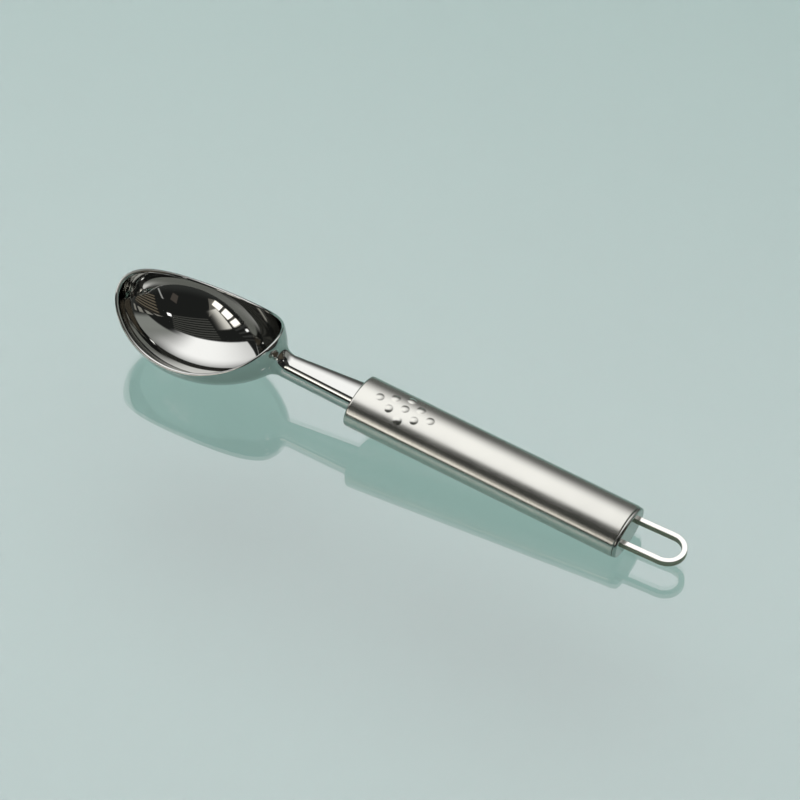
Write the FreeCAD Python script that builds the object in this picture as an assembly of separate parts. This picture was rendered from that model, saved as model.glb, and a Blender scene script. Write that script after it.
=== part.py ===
import FreeCAD, Part
import math
import os
from FreeCAD import Vector

# Ice cream scoop: a cast head on a neck, an oval tube handle, an end cap and a wire hanging loop.
# Lengths in mm. Every piece is drawn in the handle's own frame and then laid on the table:
# X runs along the handle from the tube's front to the loop, Y across it, Z up, and the tube's
# front centre is the start.

# handle tube: oval, drawn nearly shut at the front, cut square at the rear
tube_length = 100.4
tube_half_width = 10.3
tube_half_height = 6.8
tube_wall = 0.8
tube_front_wall = 1.4
tube_side_radius = 5.8
tube_front_round = 0.6
tube_rear_bevel = 0.2

# pressed dots: a diamond of nine near the front of the handle's top
dot_rows = 5
dot_diameter = 3.0
dot_height = 0.45
dot_first = 7.85
dot_step_along = 4.76
dot_step_across = 4.95

# bowl: an egg turned on an axis along the handle, hollowed, and trimmed by a wide arc;
# skew and bluntness say how far its profile departs from a plain ellipse
bowl_length = 63.8
bowl_radius = 21.65
bowl_axis_height = 2.6
bowl_wall = 1.3
egg_skew = -0.175
egg_blunt = 0.12
egg_stations = 10
rim_nose_height = 3.6
rim_middle_height = -3.85
rim_neck_height = 13.5
rim_round = 0.5

# neck: a round bar, slightly flattened on top, that grows towards the handle
neck_length = 29.2
neck_top_bowl = 3.7
neck_top_handle = 5.5
neck_crown_bowl = 5.5
neck_crown_handle = 10.2
neck_shoulder = 2.0
neck_side_bowl = 4.85
neck_side_handle = 4.65
neck_crown_deg = 21.6
neck_shoulder_deg = 50.0
neck_side_deg = 110.0
neck_sink = 6.0
root_round = 5.0
tang_length = 16.0

# end cap: a shallow polished cup with a skirt inside the tube
cap_thickness = 1.4
cap_edge_round = 1.2
cap_inset = 0.15
cap_skirt_length = 7.0
cap_skirt_wall = 0.9

# hanging loop: flat wire bent into a U
wire_width = 1.8
wire_thickness = 2.2
wire_edge_round = 0.25
loop_half_width = 5.65
loop_reach = 20.0
loop_height = 0.88
loop_rise_deg = 2.9
loop_leg_inside = 6.0

# running fit between pieces that are pressed or brazed together
seat_clearance = 0.05


def egg_radius(turn, radius):
    """Radius of the egg where the half turn from nose to neck has come to turn radians."""
    fullness = egg_skew * math.cos(turn) + egg_blunt * (1.0 + math.cos(2.0 * turn))
    return radius * math.sin(turn) * math.exp(-fullness / 2.0)


def egg_along(turn, length):
    """Distance from the egg's nose, along its axis, at the same turn."""
    return length * (1.0 - math.cos(turn)) / 2.0


def egg_solid(inset):
    """Egg turned about the bowl's axis, smaller all round by inset."""
    length = bowl_length - 2.0 * inset
    radius = bowl_radius - inset
    start = -neck_length - bowl_length + inset
    turns = [math.pi * i / egg_stations for i in range(egg_stations + 1)]
    points = []
    for t in turns:
        points.append(Vector(start + egg_along(t, length), 0, bowl_axis_height + egg_radius(t, radius)))
    # upright at both ends, at the speed that the radius grows there
    nose_speed = radius * math.exp(-egg_skew / 2.0 - egg_blunt)
    neck_speed = radius * math.exp(egg_skew / 2.0 - egg_blunt)
    curve = Part.BSplineCurve()
    curve.interpolate(Points=points, Parameters=turns, InitialTangent=Vector(0, 0, nose_speed),
                      FinalTangent=Vector(0, 0, -neck_speed), Scale=False)
    profile = Part.Wire([curve.toShape(), Part.LineSegment(points[-1], points[0]).toShape()])
    return Part.Face(profile).revolve(points[0], Vector(1, 0, 0), 360.0)


def rim_circle():
    """Circle in the plane of symmetry that the swept rim follows."""
    middle = -neck_length - bowl_length / 2.0
    nose_point = Vector(-neck_length - bowl_length, 0, rim_nose_height)
    middle_point = Vector(middle, 0, rim_middle_height)
    neck_point = Vector(-neck_length, 0, rim_neck_height)
    return Part.Circle(nose_point, middle_point, neck_point)


def rim_cutter():
    """Wide drum across the bowl, whose underside leaves the swept rim."""
    circle = rim_circle()
    span = 3.0 * bowl_radius
    return Part.makeCylinder(circle.Radius, span, circle.Center - Vector(0, span / 2.0, 0), Vector(0, 1, 0))


def arc_chain(x, top, steps):
    """Closed outline at x, alike left and right: arcs of given radius, each up to an angle from upright."""
    y = 0.0
    z = top
    last = 0.0
    marks = []
    for radius, angle in steps:
        middle = (last + angle) / 2.0
        ends = []
        for turn in (middle, angle):
            ends.append(Vector(x, y + radius * (math.sin(turn) - math.sin(last)),
                               z - radius * (math.cos(last) - math.cos(turn))))
        marks.append((Vector(x, y, z), ends[0], ends[1]))
        y = ends[1].y
        z = ends[1].z
        last = angle
    right = [Part.Arc(*points).toShape() for points in marks]
    left = []
    for points in reversed(marks):
        left.append(Part.Arc(*[Vector(p.x, -p.y, p.z) for p in reversed(points)]).toShape())
    return Part.Wire(right + left)


def neck_at(distance, grow=0.0):
    """Neck section at a distance from the handle."""
    share = distance / neck_length
    top = neck_top_handle + (neck_top_bowl - neck_top_handle) * share
    crown = neck_crown_handle + (neck_crown_bowl - neck_crown_handle) * share
    side = neck_side_handle + (neck_side_bowl - neck_side_handle) * share
    turns = [math.radians(a) for a in (neck_crown_deg, neck_shoulder_deg, neck_side_deg)]
    reach = (crown * math.sin(turns[0]) + neck_shoulder * (math.sin(turns[1]) - math.sin(turns[0]))
             + side * (math.sin(turns[2]) - math.sin(turns[1])))
    below = reach / math.sin(turns[2])
    steps = [(crown + grow, turns[0]), (neck_shoulder + grow, turns[1]), (side + grow, turns[2]),
             (below + grow, math.pi)]
    return arc_chain(-distance, top + grow, steps)


def root_edges(body):
    """Edges where the neck enters the bowl's wall, all within the length that the neck sinks into it."""
    found = []
    for edge in body.Edges:
        box = edge.BoundBox
        if not edge.Degenerated and box.XMin > -neck_length - neck_sink and box.XMax < -neck_length / 2.0:
            found.append(edge)
    return found


def rim_edges(body):
    """Edges of the swept face that the drum leaves on the bowl."""
    radius = rim_circle().Radius
    found = []
    for face in body.Faces:
        if isinstance(face.Surface, Part.Cylinder) and abs(face.Surface.Radius - radius) < 1e-6:
            found.extend(face.Edges)
    return found


def make_scoop_head():
    """Bowl, neck and hidden tang: one casting."""
    bar = Part.makeLoft([neck_at(0.0), neck_at(neck_length + neck_sink)], True, True)
    body = egg_solid(0.0).fuse(bar)
    body = body.makeFillet(root_round, root_edges(body))
    tang = Part.Face(neck_at(0.0)).extrude(Vector(tang_length, 0, 0))
    body = body.fuse(tang)
    body = body.cut(egg_solid(bowl_wall))
    body = body.cut(rim_cutter())
    return body.makeFillet(rim_round, rim_edges(body)).Solids[0]


def oval_crown_radius():
    """Radius of the oval's flatter arcs, which meet the side arcs smoothly."""
    across = tube_half_width - tube_side_radius
    rise = tube_half_height - tube_side_radius
    return (across ** 2 + tube_half_height ** 2 - tube_side_radius ** 2) / (2.0 * rise)


def oval_bar(inset, start, end):
    """Solid bar with the handle's oval outline, smaller all round by inset, from start to end."""
    crown = oval_crown_radius()
    turn = math.atan2(tube_half_width - tube_side_radius, crown - tube_half_height)
    steps = [(crown - inset, turn), (tube_side_radius - inset, math.pi - turn), (crown - inset, math.pi)]
    oval = arc_chain(start, tube_half_height - inset, steps)
    return Part.Face(oval).extrude(Vector(end - start, 0, 0))


def edges_at(solid, x):
    """Edges of a solid that lie wholly at one place along the handle."""
    return [e for e in solid.Edges if abs(e.BoundBox.XMin - x) < 1e-3 and abs(e.BoundBox.XMax - x) < 1e-3]


def dot_places():
    """Places of the pressed dots: rows of one, two, three, two and one."""
    places = []
    for row in range(dot_rows):
        count = min(row, dot_rows - 1 - row) + 1
        for i in range(count):
            places.append((dot_first + row * dot_step_along, (i - (count - 1) / 2.0) * dot_step_across))
    return places


def dot_ball(x, y, inset):
    """Ball whose top stands dot_height proud of the tube at (x, y), smaller by inset."""
    crown = oval_crown_radius()
    radius = ((dot_diameter / 2.0) ** 2 + dot_height ** 2) / (2.0 * dot_height)
    turn = math.asin(y / crown)
    reach = crown - radius + dot_height
    centre = Vector(x, reach * math.sin(turn), tube_half_height - crown + reach * math.cos(turn))
    return Part.makeSphere(radius - inset, centre)


def make_handle_tube():
    """Drawn oval tube with a hole for the neck in its front and nine pressed dots."""
    body = oval_bar(0.0, 0.0, tube_length)
    body = body.makeFillet(tube_front_round, edges_at(body, 0.0))
    body = body.makeChamfer(tube_rear_bevel, edges_at(body, tube_length))
    places = dot_places()
    body = body.fuse([dot_ball(x, y, 0.0) for x, y in places])
    core = oval_bar(tube_wall, tube_front_wall, tube_length)
    hollows = [dot_ball(x, y, tube_wall) for x, y in places]
    hole = Part.Face(neck_at(0.0, seat_clearance)).extrude(Vector(tube_front_wall, 0, 0))
    return body.cut([core] + hollows + [hole]).Solids[0]


def loop_wire(width, thickness):
    """Flat wire bent into a U, with its legs running into the cap."""
    face_x = tube_length + cap_thickness
    bend = face_x + loop_reach - wire_width / 2.0 - loop_half_width
    start = tube_length - loop_leg_inside
    path_start = Vector(start, -loop_half_width, 0)
    leg_a = Part.LineSegment(path_start, Vector(bend, -loop_half_width, 0))
    round_end = Part.Arc(Vector(bend, -loop_half_width, 0), Vector(bend + loop_half_width, 0, 0),
                         Vector(bend, loop_half_width, 0))
    leg_b = Part.LineSegment(Vector(bend, loop_half_width, 0), Vector(start, loop_half_width, 0))
    path = Part.Wire([leg_a.toShape(), round_end.toShape(), leg_b.toShape()])
    corner = path_start + Vector(0, width / 2.0, -thickness / 2.0)
    section = Part.makePlane(thickness, width, corner, Vector(1, 0, 0), Vector(0, 0, 1)).OuterWire
    body = path.makePipeShell([section], True, False)
    body.translate(Vector(0, 0, loop_height))
    body.rotate(Vector(face_x, 0, loop_height), Vector(0, 1, 0), -loop_rise_deg)
    return body


def make_hanging_loop():
    """U of flat wire with softened edges."""
    body = loop_wire(wire_width, wire_thickness)
    long_edges = [e for e in body.Edges if not is_leg_end(e)]
    return body.makeFillet(wire_edge_round, long_edges)


def is_leg_end(edge):
    """True for the short edges that close the wire's two hidden ends."""
    return edge.Length < 1.5 * max(wire_width, wire_thickness)


def make_end_cap():
    """Shallow cup that closes the tube, with two slots for the loop's legs."""
    face_x = tube_length + cap_thickness
    plate = oval_bar(cap_inset, tube_length, face_x)
    plate = plate.makeFillet(cap_edge_round, edges_at(plate, face_x))
    skirt = oval_bar(tube_wall + seat_clearance, tube_length - cap_skirt_length, tube_length)
    hollow = oval_bar(tube_wall + seat_clearance + cap_skirt_wall,
                      tube_length - cap_skirt_length, tube_length)
    body = plate.fuse(skirt.cut(hollow))
    grown = 2.0 * seat_clearance
    return body.cut(loop_wire(wire_width + grown, wire_thickness + grown)).Solids[0]


def resting_tilt_deg():
    """Angle that brings the bowl's underside and the tube's rear edge level."""
    steepest = 0.0
    steps = 400
    for i in range(steps + 1):
        turn = math.pi * i / steps
        x = egg_along(turn, bowl_length) - bowl_length - neck_length
        below = bowl_axis_height - egg_radius(turn, bowl_radius)
        steepest = max(steepest, math.atan2(-tube_half_height - below, tube_length - x))
    return math.degrees(steepest)


def lay_on_table(shapes):
    """Turn the pieces to their resting angle and centre them over the origin, lowest point at zero."""
    tilt = resting_tilt_deg()
    for shape in shapes:
        shape.rotate(Vector(0, 0, 0), Vector(0, 1, 0), tilt)
    box = Part.makeCompound(shapes).optimalBoundingBox()
    shift = Vector(-(box.XMin + box.XMax) / 2.0, -(box.YMin + box.YMax) / 2.0, -box.ZMin)
    for shape in shapes:
        shape.translate(shift)
    print("resting tilt", round(tilt, 3), "shift", [round(v, 3) for v in shift])


nodes = {
    "scoop_head": make_scoop_head(),
    "handle_tube": make_handle_tube(),
    "end_cap": make_end_cap(),
    "hanging_loop": make_hanging_loop(),
}
lay_on_table(list(nodes.values()))
os.makedirs("parts", exist_ok=True)
for name, shape in nodes.items():
    print(name, shape.isValid(), len(shape.Solids), "volume", round(shape.Volume, 1))
    shape.exportStep("parts/" + name + ".step")
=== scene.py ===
import math

import bpy
import numpy as np
from mathutils import Matrix, Vector


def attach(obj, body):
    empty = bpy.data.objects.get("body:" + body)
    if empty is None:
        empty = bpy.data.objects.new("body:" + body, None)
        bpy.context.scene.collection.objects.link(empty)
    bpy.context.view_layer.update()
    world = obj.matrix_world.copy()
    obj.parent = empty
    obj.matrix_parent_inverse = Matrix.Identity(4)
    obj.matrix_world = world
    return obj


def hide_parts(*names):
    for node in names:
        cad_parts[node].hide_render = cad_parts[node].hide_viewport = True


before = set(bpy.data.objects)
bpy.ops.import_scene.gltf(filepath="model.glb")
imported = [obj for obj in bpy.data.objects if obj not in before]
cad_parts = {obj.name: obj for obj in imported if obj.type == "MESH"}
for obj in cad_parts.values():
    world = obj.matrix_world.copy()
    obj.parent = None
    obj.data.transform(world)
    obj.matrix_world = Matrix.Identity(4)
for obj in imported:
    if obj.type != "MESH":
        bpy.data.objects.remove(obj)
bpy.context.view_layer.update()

mm = 0.001


def linearColour(hexText, alpha=1.0):
    values = [int(hexText[i:i + 2], 16) / 255.0 for i in (1, 3, 5)]
    return tuple(v / 12.92 if v <= 0.04045 else ((v + 0.055) / 1.055) ** 2.4 for v in values) + (alpha,)


def addNode(tree, kind, settings=None, **links):
    # links: input name (spaces as underscores, or i0, i1 ...) to a value or to another node's output
    node = tree.nodes.new(kind)
    for key, value in (settings or {}).items():
        setattr(node, key, value)
    for name, value in links.items():
        socket = node.inputs[int(name[1:])] if name[1:].isdigit() else node.inputs[name.replace("_", " ")]
        if isinstance(value, bpy.types.NodeSocket):
            tree.links.new(value, socket)
        else:
            socket.default_value = value
    return node


def newMaterial(name):
    material = bpy.data.materials.new(name)
    material.use_nodes = True
    tree = material.node_tree
    tree.nodes.clear()
    return material, tree


# the photograph's view: long lens, about 48 degrees down onto the table
view = {
    "aim": Vector((-6.27, 13.26, 6.42)) * mm,
    "turnDeg": 30.19,       # handle's direction against the picture's level line
    "elevationDeg": 47.67,
    "distance": 1.1667,
    "lens": 157.5,
    "sensor": 36.0,
    "clip": (0.05, 60.0),
}


def viewVectors():
    turn = math.radians(view["turnDeg"])
    rise = math.radians(view["elevationDeg"])
    right = Vector((math.cos(turn), math.sin(turn), 0))
    far = Vector((-math.sin(turn), math.cos(turn), 0))
    towards = -far * math.cos(rise) + Vector((0, 0, 1)) * math.sin(rise)
    up = far * math.sin(rise) + Vector((0, 0, 1)) * math.cos(rise)
    return right, far, up, towards


def makeCamera():
    right, far, up, towards = viewVectors()
    data = bpy.data.cameras.new("viewCamera")
    data.lens = view["lens"]
    data.sensor_width = view["sensor"]
    data.clip_start, data.clip_end = view["clip"]
    camera = bpy.data.objects.new("viewCamera", data)
    camera.matrix_world = Matrix((
        (right.x, up.x, towards.x, 0),
        (right.y, up.y, towards.y, 0),
        (right.z, up.z, towards.z, 0),
        (0, 0, 0, 1)))
    camera.location = view["aim"] + towards * view["distance"]
    bpy.context.scene.collection.objects.link(camera)
    bpy.context.scene.camera = camera


makeCamera()
print("camera set")

# the studio round the scoop: each card's corners are (azimuth from the far side, elevation) in degrees,
# in the order near left, near right, far right, far left; soft is how much of each side fades
# (left, right, near, far), dimLeft its level at the left, bars how many dark bars cross it and how wide
studio = {
    "centre": Vector((-60, 0, 10)) * mm,
    "reach": 3.0,
    "cardGap": 0.03,        # each card stands this much further out than the one before
    "cardSteps": 8,
    "barLevel": 0.2,        # how bright a dark bar stays, and how softly it ends
    "barSoft": 0.1,
    "room": {"colour": "#e4ebe6", "low": 0.06, "high": 0.025, "rise": (0.02, 0.35)},
    "fill": {"size": 5.0, "height": 2.6, "watts": 82.0, "colour": "#ffffff"},
    "cards": {
        "softPanel": {"corners": ((-80, 28), (98, 64), (58, 3), (-30, 8)), "colour": "#ffffff",
                      "strength": 1.6, "soft": (0.03, 0.42, 0.05, 0.55), "dimLeft": 0.8},
        "greyCeiling": {"corners": ((0, 84), (94, 28), (72, 3), (30, 10)), "colour": "#d8dcd6",
                        "strength": 0.5, "soft": (0.3, 0.25, 0.1, 0.2)},
        "beam": {"corners": ((125, 57), (112, 50), (85, 2), (75, 8)), "colour": "#dcdad0",
                 "strength": 0.5, "soft": (0.1, 0.1, 0.1, 0.1), "bars": (4, 0.35)},
        "ceilingGrille": {"corners": ((-140, 47), (141, 54), (86, 68), (-83, 56)), "colour": "#d2d4cc",
                          "strength": 0.15, "soft": (0.05, 0.05, 0.1, 0.02), "bars": (9, 0.45)},
        "curtain": {"corners": ((-138, 24), (-152, 40), (-108, 60), (-101, 36)), "colour": "#fbf8f0",
                    "strength": 1.15, "soft": (0.05, 0.9, 0.1, 0.1)},
        "leftWindow": {"corners": ((-143, 10), (-146, 23), (-101, 35), (-101, 20)), "colour": "#fffbf2",
                       "strength": 2.4, "soft": (0.15, 0.25, 0.03, 0.1), "bars": (3, 0.18)},
        "leftLamp": {"corners": ((-96, 17), (-96, 23), (-90, 23), (-90, 17)), "colour": "#ffffff",
                     "strength": 1.8, "soft": (0.3, 0.3, 0.3, 0.3)},
        "deskLamp": {"corners": ((144, 54), (134, 49), (128, 55), (138, 60)), "colour": "#ffffff",
                     "strength": 3.2, "soft": (0.3, 0.3, 0.3, 0.3)},
        "shelves": {"corners": ((141, 19), (118, 1), (90, 4), (112, 54)), "colour": "#bdb09a",
                    "strength": 0.36, "soft": (0.1, 0.1, 0.1, 0.1), "bars": (7, 0.45)},
        "doorLight": {"corners": ((145, -2), (130, -2), (131, 8), (144, 6)), "colour": "#fdfbf4",
                      "strength": 1.6, "soft": (0.2, 0.2, 0.2, 0.2)},
        "lowLight": {"corners": ((160, 0), (149, -1), (149, 4), (160, 4)), "colour": "#eaf2fa",
                     "strength": 0.9, "soft": (0.2, 0.2, 0.2, 0.2)},
        "leftCabinet": {"corners": ((-116, -8), (-110, 38), (-80, 30), (-70, -8)), "colour": "#c8ccc8",
                        "strength": 0.09, "soft": (0.05, 0.05, 0.05, 0.05), "bars": (5, 0.5)},
        "pinnedPaper": {"corners": ((167, 40), (159, 31), (169, 16), (176, 23)), "colour": "#cbbfb4",
                        "strength": 0.16, "soft": (0.1, 0.1, 0.1, 0.1)},
        "lampArm": {"corners": ((150, 31), (147, 29), (150, 6), (153, 6)), "colour": "#e6e8e6",
                    "strength": 0.6, "soft": (0.2, 0.2, 0.1, 0.1)},
        "windowWall": {"corners": ((-136, 34), (-139, 48), (-149, 12), (-142, 11)), "colour": "#cfcbc0",
                       "strength": 0.3, "soft": (0.1, 0.1, 0.1, 0.1)},
        "lowDoor": {"corners": ((-78, -8), (-12, -8), (-14, 11), (-76, 14)), "colour": "#c8ccc8",
                    "strength": 0.06, "soft": (0.05, 0.2, 0.05, 0.1)},
        "farWall": {"corners": ((-12, -8), (72, -8), (70, 24), (-8, 20)), "colour": "#dfe3dd",
                    "strength": 0.2, "soft": (0.2, 0.2, 0.05, 0.4)},
    },
}


def cardMaterial(name, card):
    # glows where it isn't faded out, and lets the cards behind it show through where it is
    material, tree = newMaterial(name)
    place = addNode(tree, "ShaderNodeUVMap", {"uv_map": "card"})
    axes = addNode(tree, "ShaderNodeSeparateXYZ", Vector=place.outputs[0])
    smooth = {"interpolation_type": "SMOOTHSTEP"}
    times = {"operation": "MULTIPLY"}
    left, right, near, far = card["soft"]
    levels = []
    for axis, low, high, start in ((0, 0.0, left, 0.0), (0, 1.0, 1.0 - right, 0.0),
                                   (1, 0.0, near, 0.0), (1, 1.0, 1.0 - far, 0.0),
                                   (0, 0.0, 0.5, card.get("dimLeft", 1.0))):
        if start < 1.0:
            edge = addNode(tree, "ShaderNodeMapRange", smooth, Value=axes.outputs[axis], From_Min=low,
                           From_Max=high, To_Min=start)
            levels.append(edge.outputs[0])
    if "bars" in card:
        count, width = card["bars"]
        wide = addNode(tree, "ShaderNodeMath", times, i0=axes.outputs[1], i1=float(count))
        part = addNode(tree, "ShaderNodeMath", {"operation": "FRACT"}, i0=wide.outputs[0])
        gap = addNode(tree, "ShaderNodeMapRange", Value=part.outputs[0], From_Min=width,
                      From_Max=width + studio["barSoft"], To_Min=studio["barLevel"])
        levels.append(gap.outputs[0])
    shade = levels[0]
    for level in levels[1:]:
        shade = addNode(tree, "ShaderNodeMath", times, i0=shade, i1=level).outputs[0]
    power = addNode(tree, "ShaderNodeMath", times, i0=shade, i1=card["strength"])
    glow = addNode(tree, "ShaderNodeEmission", Color=linearColour(card["colour"]),
                   Strength=power.outputs[0])
    clear = addNode(tree, "ShaderNodeBsdfTransparent")
    mixed = addNode(tree, "ShaderNodeMixShader", i0=shade, i1=clear.outputs[0], i2=glow.outputs[0])
    addNode(tree, "ShaderNodeOutputMaterial", Surface=mixed.outputs[0])
    if name != "softPanel":
        material.cycles.emission_sampling = "NONE"      # small or dim: seen in the metal, lights nothing
    return material


def makeCard(name, card, reach):
    # a patch of the studio's dome between its four corners
    right, far = viewVectors()[:2]
    corners = []
    for azimuth, elevation in card["corners"]:
        a = math.radians(azimuth)
        e = math.radians(elevation)
        level = far * math.cos(a) + right * math.sin(a)
        corners.append(level * math.cos(e) + Vector((0, 0, 1)) * math.sin(e))
    steps = studio["cardSteps"]
    points = []
    for j in range(steps + 1):
        for i in range(steps + 1):
            u, v = i / steps, j / steps
            nearSide = corners[0].lerp(corners[1], u)
            farSide = corners[3].lerp(corners[2], u)
            points.append(studio["centre"] + nearSide.lerp(farSide, v).normalized() * reach)
    faces = []
    for j in range(steps):
        for i in range(steps):
            a = j * (steps + 1) + i
            faces.append((a, a + 1, a + steps + 2, a + steps + 1))
    mesh = bpy.data.meshes.new(name)
    mesh.from_pydata(points, [], faces)
    uv = mesh.uv_layers.new(name="card")
    for corner in mesh.loops:
        k = corner.vertex_index
        uv.data[corner.index].uv = ((k % (steps + 1)) / steps, (k // (steps + 1)) / steps)
    mesh.materials.append(cardMaterial(name, card))
    piece = bpy.data.objects.new(name, mesh)
    piece.visible_camera = False
    piece.visible_shadow = False
    bpy.context.scene.collection.objects.link(piece)


for place, (cardName, card) in enumerate(studio["cards"].items()):
    makeCard(cardName, card, studio["reach"] + studio["cardGap"] * place)


def makeFill():
    # broad soft light from overhead for the matt table base; polished metal doesn't mirror it
    fill = studio["fill"]
    data = bpy.data.lights.new("overheadFill", "AREA")
    data.size = fill["size"]
    data.energy = fill["watts"]
    data.color = linearColour(fill["colour"])[:3]
    lamp = bpy.data.objects.new("overheadFill", data)
    lamp.location = (0, 0, fill["height"])
    lamp.visible_glossy = False
    bpy.context.scene.collection.objects.link(lamp)


makeFill()


def makeWorld():
    # dim room: a little lighter low down than above
    room = studio["room"]
    world = bpy.data.worlds.new("dimRoom")
    bpy.context.scene.world = world
    world.use_nodes = True
    tree = world.node_tree
    tree.nodes.clear()
    direction = addNode(tree, "ShaderNodeTexCoord")
    axes = addNode(tree, "ShaderNodeSeparateXYZ", Vector=direction.outputs["Generated"])
    level = addNode(tree, "ShaderNodeMapRange", {"interpolation_type": "SMOOTHSTEP"}, Value=axes.outputs[2],
                    From_Min=room["rise"][0], From_Max=room["rise"][1], To_Min=room["low"],
                    To_Max=room["high"])
    back = addNode(tree, "ShaderNodeBackground", Color=linearColour(room["colour"]),
                   Strength=level.outputs[0])
    addNode(tree, "ShaderNodeOutputWorld", Surface=back.outputs[0])


makeWorld()
print("studio made")

# glass table: a clear polished sheet whose back mirrors a little more, over a pale green base well below
table = {
    "halfSide": 4.0,
    "topMirror": 0.048,
    "backMirror": 0.132,
    "backDepth": 1.0 * mm,
    "baseDepth": 60.0 * mm,
    "baseColours": ("#a0c2bb", "#a2c4bd"),
    "cloudScale": 6.0,      # clouds about 17 cm across
    "mirrorTint": "#ffeef6",
}


def clearSheet(name, share):
    # polished glass surface: mirrors a fixed share, the rest passes straight through
    material, tree = newMaterial(name)
    clear = addNode(tree, "ShaderNodeBsdfTransparent")
    mirror = addNode(tree, "ShaderNodeBsdfGlossy", {"distribution": "GGX"}, Roughness=0.0,
                     Color=linearColour(table["mirrorTint"]))
    mixed = addNode(tree, "ShaderNodeMixShader", i0=share, i1=clear.outputs[0], i2=mirror.outputs[0])
    addNode(tree, "ShaderNodeOutputMaterial", Surface=mixed.outputs[0])
    return material


def tableBase():
    # matt painted board under the glass: even colour with the faintest cloudiness
    material, tree = newMaterial("tableBase")
    place = addNode(tree, "ShaderNodeTexCoord")
    cloud = addNode(tree, "ShaderNodeTexNoise", Vector=place.outputs["Object"], Scale=table["cloudScale"],
                    Detail=2.0)
    darker, lighter = [linearColour(c) for c in table["baseColours"]]
    tone = addNode(tree, "ShaderNodeMix", {"data_type": "RGBA"}, i0=cloud.outputs[0], i6=darker, i7=lighter)
    board = addNode(tree, "ShaderNodeBsdfDiffuse", Color=tone.outputs[2])
    addNode(tree, "ShaderNodeOutputMaterial", Surface=board.outputs[0])
    return material


def makeLevel(name, height, material):
    h = table["halfSide"]
    mesh = bpy.data.meshes.new(name)
    corners = [(-h, -h, height), (h, -h, height), (h, h, height), (-h, h, height)]
    mesh.from_pydata(corners, [], [(0, 1, 2, 3)])
    mesh.materials.append(material)
    piece = bpy.data.objects.new(name, mesh)
    bpy.context.scene.collection.objects.link(piece)


makeLevel("glassTop", 0.0, clearSheet("glassTop", table["topMirror"]))
makeLevel("glassBack", -table["backDepth"], clearSheet("glassBack", table["backMirror"]))
makeLevel("tableBase", -table["baseDepth"], tableBase())
print("table made")


def steel(name, look):
    # colour, roughness and the marks that the surface's making leaves, all in object space, sizes in mm
    material, tree = newMaterial(name)
    place = addNode(tree, "ShaderNodeTexCoord")
    turned = addNode(tree, "ShaderNodeMapping", Vector=place.outputs["Object"],
                     Rotation=(0.0, math.radians(-lie["tiltDeg"]), 0.0))
    smudge = addNode(tree, "ShaderNodeTexNoise", Vector=turned.outputs[0],
                     Scale=1.0 / (look["smudgeSize"] * mm), Detail=4.0, Roughness=0.6)
    # only the stronger half of the noise shows as smudges
    dull = addNode(tree, "ShaderNodeMapRange", Value=smudge.outputs[0], From_Min=0.35, From_Max=0.75,
                   To_Min=look["roughness"], To_Max=look["roughness"] + look["smudge"])
    ripple = addNode(tree, "ShaderNodeTexNoise", Vector=turned.outputs[0],
                     Scale=1.0 / (look["rippleSize"] * mm), Detail=1.0)
    wave = addNode(tree, "ShaderNodeBump", Height=ripple.outputs[0], Distance=look["rippleDepth"] * mm,
                   Strength=1.0)
    if "grainSize" in look:
        stretched = addNode(tree, "ShaderNodeMapping", Vector=turned.outputs[0],
                            Scale=[1.0 / (v * mm) for v in look["grainSize"]])
        lines = addNode(tree, "ShaderNodeTexNoise", Vector=stretched.outputs[0], Scale=1.0, Detail=2.0)
        wave = addNode(tree, "ShaderNodeBump", Height=lines.outputs[0], Distance=look["grainDepth"] * mm,
                       Strength=1.0, Normal=wave.outputs[0])
    shader = addNode(tree, "ShaderNodeBsdfPrincipled", Metallic=1.0,
                     Base_Color=linearColour(look["colour"]), Roughness=dull.outputs[0],
                     Normal=wave.outputs[0])
    addNode(tree, "ShaderNodeOutputMaterial", Surface=shader.outputs[0])
    return material


# how the scoop lies: tipped onto the bowl's belly and the handle's rear edge
lie = {"tiltDeg": 4.339, "shift": (-14.505, 0.0, 14.377)}


def layDown(points):
    # handle's own frame in mm to the frame's metres
    turn = math.radians(lie["tiltDeg"])
    laid = np.array(points, float)
    laid[:, 0] = points[:, 0] * math.cos(turn) + points[:, 2] * math.sin(turn) + lie["shift"][0]
    laid[:, 2] = points[:, 2] * math.cos(turn) - points[:, 0] * math.sin(turn) + lie["shift"][2]
    return laid * mm


def layNormals(normals):
    turn = math.radians(lie["tiltDeg"])
    laid = np.array(normals, float)
    laid[:, 0] = normals[:, 0] * math.cos(turn) + normals[:, 2] * math.sin(turn)
    laid[:, 2] = normals[:, 2] * math.cos(turn) - normals[:, 0] * math.sin(turn)
    return laid / np.linalg.norm(laid, axis=1, keepdims=True)


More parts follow.
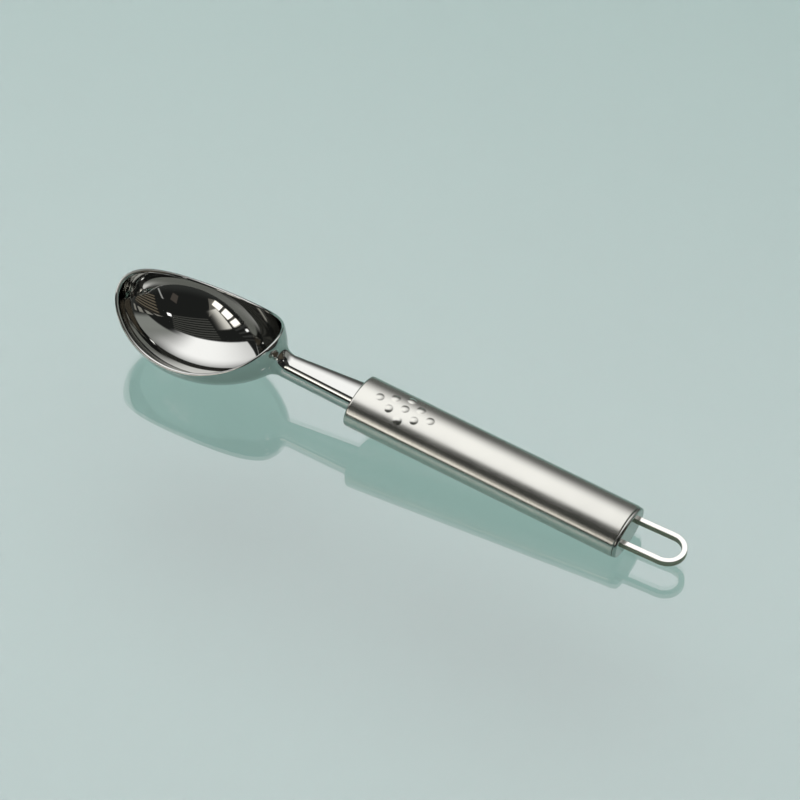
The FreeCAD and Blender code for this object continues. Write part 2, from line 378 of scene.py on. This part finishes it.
def makePiece(name, patches, materials, node):
    # each patch is (points, normals, material index), rows by columns, closed round its columns
    points, normals, faces, indices = [], [], [], []
    start = 0
    for grid, directions, index in patches:
        rows, columns = grid.shape[:2]
        flat = grid.reshape(-1, 3)
        aims = directions.reshape(-1, 3)
        a = start + np.arange(rows - 1)[:, None] * columns + np.arange(columns)[None, :]
        b = start + np.arange(rows - 1)[:, None] * columns + (np.arange(columns)[None, :] + 1) % columns
        quads = np.stack([a, b, b + columns, a + columns], -1).reshape(-1, 4)
        # every face is wound to face the way its normals point
        corner = flat[quads - start]
        facing = np.cross(corner[:, 2] - corner[:, 0], corner[:, 3] - corner[:, 1])
        wrong = (facing * aims[quads - start].sum(1)).sum(1) < 0
        quads[wrong] = quads[wrong][:, ::-1]
        points.append(flat)
        normals.append(aims)
        faces.append(quads)
        indices.append(np.full(len(quads), index))
        start += len(flat)
    points = np.concatenate(points)
    normals = np.concatenate(normals)
    faces = np.concatenate(faces)
    # rows that shrink to a point share one vertex
    keys = np.round(np.hstack([points, normals]), 5)
    unique, first, inverse = np.unique(keys, axis=0, return_index=True, return_inverse=True)
    inverse = inverse.reshape(-1)
    points = layDown(points[first])
    normals = layNormals(normals[first])
    clean, kept = [], []
    for quad, index in zip(inverse[faces].tolist(), np.concatenate(indices).tolist()):
        ring = [v for k, v in enumerate(quad) if v != quad[k - 1]]
        if len(ring) > 2 and len(set(ring)) == len(ring):
            clean.append(ring)
            kept.append(index)
    mesh = bpy.data.meshes.new(name)
    mesh.from_pydata(points.tolist(), [], clean)
    for material in materials:
        mesh.materials.append(material)
    mesh.polygons.foreach_set("material_index", kept)
    mesh.polygons.foreach_set("use_smooth", [True] * len(mesh.polygons))
    mesh.normals_split_custom_set_from_vertices(normals.tolist())
    piece = bpy.data.objects.new(name, mesh)
    bpy.context.scene.collection.objects.link(piece)
    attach(piece, "root")
    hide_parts(node)
    print(name, "faces", len(mesh.polygons))
    return piece


def lastInside(test, low, high, halvings=40):
    # closes in on the last value that passes the test, for every column at once
    for _ in range(halvings):
        middle = (low + high) / 2
        inside = test(middle)
        low = np.where(inside, middle, low)
        high = np.where(inside, high, middle)
    return low


def arcPoints(nu, top, steps):
    # outline point whose outward direction is nu from upright: arcs of given radius, each up to an angle
    turn = np.abs(nu)
    y = np.zeros_like(turn)
    z = np.zeros_like(turn) + top
    last = 0.0
    for radius, angle in steps:
        here = np.clip(turn, last, angle)
        y = y + radius * (np.sin(here) - math.sin(last))
        z = z - radius * (math.cos(last) - np.cos(here))
        last = angle
    return y * np.sign(nu), z


# scoop head, one polished casting: egg bowl, swept rounded rim, smooth root and neck; in mm
head = {
    "bowlLength": 63.8,
    "bowlRadius": 21.64,
    "axisHeight": 2.6,
    "wall": 1.3,
    "skew": -0.175,
    "blunt": 0.12,
    "rimNose": 3.6,
    "rimMiddle": -3.85,
    "rimNeck": 13.49,
    "rimRound": 0.58,
    "rimLean": 0.33,        # how far the rim's flat leans outwards at the bowl's sides
    "neckLength": 29.2,
    "rootRound": 5.0,
    "neckIntoTube": 0.9,
    "heart": 0.49,          # share of the bowl's length, from the neck, at which its rays start
    "columns": 360,
    "rows": 56,
    "rimRows": 41,
    "rootRows": 25,
    "neckRows": 31,
    # stainless casting, mirror polished: nearly clear reflections, very faint waves and wiped smudges
    "look": {"colour": "#c6c6c3", "roughness": 0.03, "smudgeSize": 30.0, "smudge": 0.03,
             "rippleSize": 12.0, "rippleDepth": 0.04},
}


def eggProfile(turn, inset):
    length = head["bowlLength"] - 2 * inset
    along = -head["neckLength"] - head["bowlLength"] + inset + length * (1 - np.cos(turn)) / 2
    fullness = head["skew"] * np.cos(turn) + head["blunt"] * (1 + np.cos(2 * turn))
    return along, (head["bowlRadius"] - inset) * np.sin(turn) * np.exp(-fullness / 2)


def eggNear(points, inset):
    # distance outside the egg's skin, and the skin's outward direction at the nearest place
    x = points[:, 0]
    z = points[:, 2] - head["axisHeight"]
    radial = np.maximum(np.hypot(points[:, 1], z), 1e-9)
    turns = np.linspace(0, math.pi, 241)
    along, radius = eggProfile(turns, inset)
    turn = turns[((x[:, None] - along) ** 2 + (radial[:, None] - radius) ** 2).argmin(1)]
    # closes in from the nearest sample to where the way to the skin stands square on it
    step = 1e-4
    for _ in range(5):
        a0, r0 = eggProfile(turn - step, inset)
        a1, r1 = eggProfile(turn, inset)
        a2, r2 = eggProfile(turn + step, inset)
        da = (a2 - a0) / (2 * step)
        dr = (r2 - r0) / (2 * step)
        bend = (a1 - x) * (a2 - 2 * a1 + a0) / step ** 2 + (r1 - radial) * (r2 - 2 * r1 + r0) / step ** 2
        slope = (a1 - x) * da + (r1 - radial) * dr
        turn = np.clip(turn - slope / np.maximum(da ** 2 + dr ** 2 + bend, 1.0), 0, math.pi)
    size = np.hypot(da, dr)
    nx, nr = -dr / size, da / size
    distance = (x - a1) * nx + (radial - r1) * nr
    return distance, np.stack([nx, nr * points[:, 1] / radial, nr * z / radial], -1)


def eggHit(start, direction, inset):
    # where a ray from inside meets the egg
    length = head["bowlLength"] - 2 * inset
    nose = -head["neckLength"] - head["bowlLength"] + inset

    def inside(far):
        p = start + direction * far[:, None]
        cosine = 1 - 2 * (p[:, 0] - nose) / length
        radius = eggProfile(np.arccos(np.clip(cosine, -1, 1)), inset)[1]
        return (np.abs(cosine) < 1) & (np.hypot(p[:, 1], p[:, 2] - head["axisHeight"]) < radius)

    low = np.zeros(len(direction))
    return start + direction * lastInside(inside, low, low + 80.0, 45)[:, None]


def rimCircle():
    # centre (x, z) and radius of the arc that the swept rim follows
    nose = -head["neckLength"] - head["bowlLength"]
    marks = np.array([(nose, head["rimNose"]), (nose + head["bowlLength"] / 2, head["rimMiddle"]),
                      (-head["neckLength"], head["rimNeck"])])
    system = np.column_stack([2 * marks, np.ones(3)])
    cx, cz, c = np.linalg.solve(system, (marks ** 2).sum(1))
    return cx, cz, math.sqrt(c + cx * cx + cz * cz)


def aboveRim(points):
    # depth inside the drum that trims the bowl
    cx, cz, radius = rimCircle()
    return radius - np.hypot(points[:, 0] - cx, points[:, 2] - cz)


def shellSide(points, crest, up):
    # below zero inside the bowl wall, whose rim is cut flat and then rounded at both edges
    r = head["rimRound"]
    top = ((points - crest) * up).sum(1)
    sides = (eggNear(points, 0.0)[0], -eggNear(points, head["wall"])[0])
    parts = []
    for side in sides:
        edge = np.hypot(np.maximum(side + r, 0), np.maximum(top + r, 0))
        parts.append(np.minimum(-r, np.maximum(side, top)) + edge)
    return np.maximum(*parts)


def bowlGrid():
    columns = head["columns"]
    centre = np.array([-head["neckLength"] - head["heart"] * head["bowlLength"], 0.0, head["axisHeight"]])
    psi = np.linspace(0, 2 * math.pi, columns, endpoint=False)

    def aim(chi):
        return np.stack([np.sin(chi) * np.cos(psi), np.sin(chi) * np.sin(psi), -np.cos(chi)], -1)

    def corner(inset, back=0.0):
        # where the drum cuts the skin, or a little below it
        edge = lastInside(lambda chi: aboveRim(eggHit(centre, aim(chi), inset)) <= 0,
                          np.full(columns, 0.3), np.full(columns, 2.8))
        return eggHit(centre, aim(edge - back), inset)

    def angleOf(points):
        d = points - centre
        return np.arctan2(np.hypot(d[:, 0], d[:, 1]), -d[:, 2])

    outer, inner = corner(0.0), corner(head["wall"])
    crest = (outer + inner) / 2
    lower = (corner(0.0, 0.05) + corner(head["wall"], 0.05)) / 2
    down = (lower - crest) / np.linalg.norm(lower - crest, axis=1, keepdims=True)
    out = outer - inner
    out -= (out * down).sum(1, keepdims=True) * down
    out /= np.linalg.norm(out, axis=1, keepdims=True)
    # the rim's flat faces the drum's axis and leans outwards to the sides
    cx, cz = rimCircle()[:2]
    up = np.stack([cx - crest[:, 0], np.zeros(columns), cz - crest[:, 2]], -1)
    up /= np.linalg.norm(up, axis=1, keepdims=True)
    up[:, 1] += head["rimLean"] * crest[:, 1] / head["bowlRadius"]
    up /= np.linalg.norm(up, axis=1, keepdims=True)
    middle = crest + down * 1.5     # inside the wall, below the roundings
    strip = []
    for beta in np.radians(np.linspace(-90, 90, head["rimRows"])):
        direction = -down * math.cos(beta) - out * math.sin(beta)
        far = lastInside(lambda t: shellSide(middle + direction * t[:, None], crest, up) < 0,
                         np.zeros(columns), np.full(columns, 3.0))
        strip.append(middle + direction * far[:, None])
    strip = np.array(strip)
    flat = strip.reshape(-1, 3)
    slope = np.zeros_like(flat)
    crests = np.tile(crest, (len(strip), 1))
    ups = np.tile(up, (len(strip), 1))
    for axis in range(3):
        step = np.zeros(3)
        step[axis] = 0.002
        slope[:, axis] = shellSide(flat + step, crests, ups) - shellSide(flat - step, crests, ups)
    stripAims = (slope / np.linalg.norm(slope, axis=1, keepdims=True)).reshape(strip.shape)
    skins = []
    for inset, end in ((0.0, strip[0]), (head["wall"], strip[-1])):
        last = angleOf(end)
        grid = np.array([eggHit(centre, aim(last * w), inset) for w in np.linspace(0, 1, head["rows"] + 1)])
        grid[-1] = end
        aims = eggNear(grid.reshape(-1, 3), inset)[1].reshape(grid.shape)
        skins.append((grid, aims))
    (outerGrid, outerAims), (innerGrid, innerAims) = skins
    grid = np.concatenate([outerGrid, strip[1:-1], innerGrid[::-1]])
    aims = np.concatenate([outerAims, stripAims[1:-1], -innerAims[::-1]])
    return grid, aims


# the neck's outline is four arcs on each side: crown, shoulder, side and underside; in mm
neck = {
    "top": (5.5, 3.7),          # at the handle, at the bowl
    "crown": (10.2, 5.5),
    "shoulder": (2.0, 2.0),
    "side": (4.65, 4.85),
    "marksDeg": (21.6, 50.0, 110.0),
    "columns": 180,
}


def neckOutline(x, nu, grow=0.0):
    share = -x / head["neckLength"]
    top, crown, shoulder, side = [neck[k][0] + (neck[k][1] - neck[k][0]) * share
                                  for k in ("top", "crown", "shoulder", "side")]
    b = [math.radians(v) for v in neck["marksDeg"]]
    reach = (crown * math.sin(b[0]) + shoulder * (math.sin(b[1]) - math.sin(b[0]))
             + side * (math.sin(b[2]) - math.sin(b[1])))
    below = reach / math.sin(b[2])
    steps = [(crown + grow, b[0]), (shoulder + grow, b[1]), (side + grow, b[2]), (below + grow, math.pi)]
    return arcPoints(nu, top + grow, steps)


def neckSkin(x, nu):
    y, z = neckOutline(x, nu)
    ahead = neckOutline(x + 0.01, nu)
    taper = ((ahead[0] - y) * np.sin(nu) + (ahead[1] - z) * np.cos(nu)) / 0.01
    aims = np.stack([-taper, np.sin(nu), np.cos(nu)], -1)
    return np.stack([x, y, z], -1), aims / np.linalg.norm(aims, axis=1, keepdims=True)


def evenAngles(outline, columns):
    # outward directions that step evenly along the outline
    nu = np.linspace(-math.pi, math.pi, 2881)
    y, z = outline(nu)
    run = np.concatenate([[0], np.cumsum(np.hypot(np.diff(y), np.diff(z)))])
    return np.interp(np.linspace(0, run[-1], columns, endpoint=False), run, nu)


def neckGrid():
    # a ball of the root's radius rolls round the neck while it touches the bowl
    radius = head["rootRound"]
    middle = -20.0      # the outline there sets how the columns are spread
    nu = evenAngles(lambda a: neckOutline(np.full_like(a, middle), a), neck["columns"])

    def touching(x):
        skin, aims = neckSkin(x, nu)
        return eggNear(skin + aims * radius, 0.0)[0] < radius

    low = lastInside(touching, np.full(len(nu), -34.0), np.full(len(nu), -6.0))
    skin, aims = neckSkin(low, nu)
    ball = skin + aims * radius
    bowlAims = eggNear(ball, 0.0)[1]
    spread = np.arccos(np.clip((aims * bowlAims).sum(1), -1, 1))[:, None]
    grid, directions = [], []
    for w in np.linspace(0, 1, head["rootRows"]):
        toward = (np.sin((1 - w) * spread) * bowlAims + np.sin(w * spread) * aims) / np.sin(spread)
        grid.append(ball - toward * radius)
        directions.append(toward)
    for w in np.linspace(0, 1, head["neckRows"])[1:]:
        skin, aims = neckSkin(low + (head["neckIntoTube"] - low) * w, nu)
        grid.append(skin)
        directions.append(aims)
    return np.array(grid), np.array(directions)


headSteel = steel("polishedCasting", head["look"])
headPatches = [bowlGrid() + (0,), neckGrid() + (0,)]
makePiece("scoopHead", headPatches, [headSteel], "scoop_head")

# handle tube, drawn stainless: oval, turned in at the front, nine pressed dots; in mm
tube = {
    "length": 100.4,
    "halfWidth": 10.3,
    "halfHeight": 6.8,
    "sideRadius": 5.8,
    "frontRound": 0.9,
    "rearRound": 0.3,
    "wall": 0.8,
    "frontWall": 1.4,
    "holeClearance": 0.05,
    "dotDiameter": 3.1,
    "dotHeight": 0.25,
    "dotFoot": 0.022,
    "dotFirst": 7.85,
    "dotAlong": 4.76,
    "dotAcross": 4.95,
    "dotRows": (1, 2, 3, 2, 1),
    "dotMargin": 2.2,       # the finer rows start and end this far from the outer dots' middles
    "dotStep": 0.17,
    "dotReach": 7.6,        # half the width of the finer columns
    # stainless tube, satin ground round the tube: broad soft highlights crossed by fine lines. The real
    # lines are about 0.02 mm apart and are drawn ten times as far apart, so that they show
    "look": {"colour": "#cac9c3", "roughness": 0.21, "smudgeSize": 20.0, "smudge": 0.06,
             "grainSize": (0.1923, 6.25, 6.25), "grainDepth": 0.004, "rippleSize": 20.0,
             "rippleDepth": 0.03},
}


def ovalSteps(inset):
    across = tube["halfWidth"] - tube["sideRadius"]
    rise = tube["halfHeight"] - tube["sideRadius"]
    crown = (across ** 2 + tube["halfHeight"] ** 2 - tube["sideRadius"] ** 2) / (2 * rise)
    turn = math.atan2(across, crown - tube["halfHeight"])
    return crown, turn, [(crown - inset, turn), (tube["sideRadius"] - inset, math.pi - turn),
                         (crown - inset, math.pi)]


def ovalAt(x, inset, nu):
    y, z = arcPoints(nu, tube["halfHeight"] - inset, ovalSteps(inset)[2])
    return np.stack([np.full_like(y, x), y, z], -1)


def ovalAngles():
    # fine over the dots, coarser round the sides and below
    crown, turn = ovalSteps(0.0)[:2]
    runs = np.cumsum([0, crown * turn, tube["sideRadius"] * (math.pi - 2 * turn), crown * turn])
    fine = tube["dotReach"]
    places = np.concatenate([np.linspace(0, fine, 45), np.linspace(fine, runs[-1], 44)[1:]])
    half = np.interp(places, runs, [0, turn, math.pi - turn, math.pi])
    return np.concatenate([-half[:0:-1], half[:-1]])


def dotHeights(x, nu):
    crown = ovalSteps(0.0)[0]
    total = np.zeros_like(nu)
    ball = ((tube["dotDiameter"] / 2) ** 2 + tube["dotHeight"] ** 2) / (2 * tube["dotHeight"])
    for row, count in enumerate(tube["dotRows"]):
        for i in range(count):
            across = math.asin((i - (count - 1) / 2) * tube["dotAcross"] / crown) * crown
            away = np.hypot(x - tube["dotFirst"] - row * tube["dotAlong"], nu * crown - across)
            cap = np.sqrt(np.maximum(ball ** 2 - away ** 2, 0)) - ball + tube["dotHeight"]
            total += tube["dotFoot"] * np.log1p(np.exp(np.clip(cap / tube["dotFoot"], -40, 40)))
    return total


def tubeGrid():
    nu = ovalAngles()
    radial = np.stack([np.zeros_like(nu), np.sin(nu), np.cos(nu)], -1)
    along = np.stack([np.zeros_like(nu), np.cos(nu), -np.sin(nu)], -1)
    crown = ovalSteps(0.0)[0]
    grid, aims = [], []

    def addRow(points, directions):
        grid.append(points)
        aims.append(directions)

    clear = tube["holeClearance"]
    for x, direction in ((tube["frontWall"], -radial), (0.0, -radial), (0.0, np.array([-1.0, 0, 0]))):
        y, z = neckOutline(np.zeros_like(nu), nu, clear)
        addRow(np.stack([np.full_like(y, x), y, z], -1), direction + np.zeros_like(radial))
    r = tube["frontRound"]
    for q in np.linspace(math.pi / 2, 0, 10):
        addRow(ovalAt(r * (1 - math.sin(q)), r * (1 - math.cos(q)), nu),
               radial * math.cos(q) - np.array([math.sin(q), 0, 0]))
    dotStart = tube["dotFirst"] - tube["dotMargin"]
    dotEnd = tube["dotFirst"] + tube["dotAlong"] * (len(tube["dotRows"]) - 1) + tube["dotMargin"]
    rear = tube["rearRound"]
    stations = np.concatenate([np.linspace(r, dotStart, 12)[1:-1],
                               np.arange(dotStart, dotEnd, tube["dotStep"]),
                               np.linspace(dotEnd, tube["length"] - rear, 40)])
    step = 0.01
    for x in stations:
        h = dotHeights(x, nu)
        alongSlope = (dotHeights(x + step, nu) - dotHeights(x - step, nu)) / (2 * step)
        roundSlope = (dotHeights(x, nu + step / crown) - dotHeights(x, nu - step / crown)) / (2 * step)
        direction = radial - along * roundSlope[:, None] - np.array([1.0, 0, 0]) * alongSlope[:, None]
        addRow(ovalAt(x, 0.0, nu) + radial * h[:, None],
               direction / np.linalg.norm(direction, axis=1, keepdims=True))
    for q in np.linspace(0, math.pi / 2, 6)[1:]:
        addRow(ovalAt(tube["length"] - rear * (1 - math.sin(q)), rear * (1 - math.cos(q)), nu),
               radial * math.cos(q) + np.array([math.sin(q), 0, 0]))
    addRow(ovalAt(tube["length"], tube["wall"], nu), np.zeros_like(radial) + np.array([1.0, 0, 0]))
    return np.array(grid), np.array(aims)


tubeSteel = steel("satinTube", tube["look"])
makePiece("handleTube", [tubeGrid() + (0,)], [tubeSteel], "handle_tube")

# end cap: pressed stainless cup, polished, rounded into a flat face; in mm
cap = {
    "thickness": 1.4,
    "inset": 0.15,
    "grooveRound": 0.45,
    "taper": 0.08,
    "edgeRound": 0.5,
    "faceRing": 2.0,        # width of the face's outer ring of faces
    # pressed stainless, polished: slightly milky reflections with faint waves from the press
    "look": {"colour": "#bdbdb9", "roughness": 0.1, "smudgeSize": 10.0, "smudge": 0.1,
             "rippleSize": 10.0, "rippleDepth": 0.03},
}


def capGrid():
    nu = ovalAngles()[::2]
    radial = np.stack([np.zeros_like(nu), np.sin(nu), np.cos(nu)], -1)
    start = tube["length"]
    grid, aims = [], []
    g, r = cap["grooveRound"], cap["edgeRound"]
    for q in np.linspace(-math.pi / 2, 0, 7):
        grid.append(ovalAt(start + g * (1 + math.sin(q)), cap["inset"] + g * (1 - math.cos(q)), nu))
        aims.append(radial * math.cos(q) + np.array([math.sin(q), 0, 0]))
    # the side draws in a little more and more towards the face
    side = cap["thickness"] - g - r
    lean = math.atan(2 * cap["taper"] / side)
    for w in np.linspace(0, 1, 10)[1:]:
        q = math.atan(2 * cap["taper"] / side * w)
        grid.append(ovalAt(start + g + side * w, cap["inset"] + cap["taper"] * w * w, nu))
        aims.append(radial * math.cos(q) + np.array([math.sin(q), 0, 0]))
    corner = cap["inset"] + cap["taper"]
    for q in np.linspace(lean, math.pi / 2, 9)[1:]:
        grid.append(ovalAt(start + g + side + r * (math.sin(q) - math.sin(lean)) / (1 - math.sin(lean)),
                           corner + r * (math.cos(lean) - math.cos(q)), nu))
        aims.append(radial * math.cos(q) + np.array([math.sin(q), 0, 0]))
    face = np.zeros_like(radial) + np.array([1.0, 0, 0])
    grid.append(ovalAt(start + cap["thickness"], corner + r + cap["faceRing"], nu))
    aims.append(face)
    grid.append(np.zeros_like(radial) + np.array([start + cap["thickness"], 0, 0]))
    aims.append(face)
    return np.array(grid), np.array(aims)


capSteel = steel("polishedCap", cap["look"])
makePiece("endCap", [capGrid() + (0,)], [capSteel], "end_cap")

# hanging loop: flat stainless wire bent into a U; in mm
loop = {
    "width": 1.8,
    "thickness": 2.2,
    "edgeRound": 0.16,
    "halfWidth": 5.65,
    "reach": 19.98,
    "height": 0.88,
    "riseDeg": 2.9,
    "intoCap": 0.8,
    # bright rolled stainless wire: nearly clear faces above and below
    "look": {"colour": "#e0ddd8", "roughness": 0.14, "smudgeSize": 6.0, "smudge": 0.08,
             "grainSize": (2.0, 0.4, 0.4), "grainDepth": 0.002, "rippleSize": 10.0,
             "rippleDepth": 0.02},
    # its sheared edges: brushed along the wire and rougher; their darker, browner colour is painted shade
    # on the wire's sides
    "shadedSideLook": {"colour": "#9c9484", "roughness": 0.28, "smudgeSize": 6.0, "smudge": 0.1,
                 "grainSize": (2.0, 0.4, 0.2), "grainDepth": 0.006, "rippleSize": 10.0,
                 "rippleDepth": 0.02},
}


def loopPatches():
    faceX = tube["length"] + cap["thickness"]
    bend = faceX + loop["reach"] - loop["width"] / 2 - loop["halfWidth"]
    root = faceX - loop["intoCap"]
    path = [(x, -loop["halfWidth"], 0.0) for x in np.linspace(root, bend, 24)[:-1]]
    for a in np.linspace(0, math.pi, 49):
        path.append((bend + loop["halfWidth"] * math.sin(a), -loop["halfWidth"] * math.cos(a), a))
    path += [(x, loop["halfWidth"], math.pi) for x in np.linspace(bend, root, 24)[1:]]
    r = loop["edgeRound"]
    section = []
    for k in range(4):
        sy, sz = ((1, 1), (-1, 1), (-1, -1), (1, -1))[k]
        for q in np.radians(np.linspace(90 * k, 90 * k + 90, 7)):
            section.append((sy * (loop["width"] / 2 - r) + r * math.cos(q),
                            sz * (loop["thickness"] / 2 - r) + r * math.sin(q), math.cos(q), math.sin(q)))
    section = np.array(section)
    rise = math.radians(loop["riseDeg"])
    grid, aims = [], []
    for x, y, a in path:
        # sideways points out of the U, whose path heads along a from +X
        side = np.array([math.sin(a), -math.cos(a), 0])
        up = np.array([0, 0, 1.0])
        p = np.array([x, y, 0]) + section[:, :1] * side + section[:, 1:2] * up
        n = section[:, 2:3] * side + section[:, 3:4] * up
        dx = p[:, 0] - faceX
        turned = np.stack([faceX + dx * math.cos(rise) - p[:, 2] * math.sin(rise), p[:, 1],
                           loop["height"] + dx * math.sin(rise) + p[:, 2] * math.cos(rise)], -1)
        tipped = np.stack([n[:, 0] * math.cos(rise) - n[:, 2] * math.sin(rise), n[:, 1],
                           n[:, 0] * math.sin(rise) + n[:, 2] * math.cos(rise)], -1)
        grid.append(turned)
        aims.append(tipped)
    return np.array(grid), np.array(aims)


# the second steel is a darker copy of the first, painted shade for the wire's sides
wireSteels = [steel("brightWire", loop["look"]), steel("brushedShadedWire", loop["shadedSideLook"])]
wire = makePiece("hangingLoop", [loopPatches() + (0,)], wireSteels, "hanging_loop")
# the wire's sides, the faces not turned up or down, take the brushed steel with its painted shade; the
# faces above and below keep the lighter steel
for face in wire.data.polygons:
    face.material_index = 1 if abs(face.normal.z) < 0.5 else 0

# the plain CAD pieces underneath take the casting's steel
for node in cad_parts.values():
    node.data.materials.clear()
    node.data.materials.append(headSteel)

bpy.context.scene.view_settings.view_transform = "Standard"
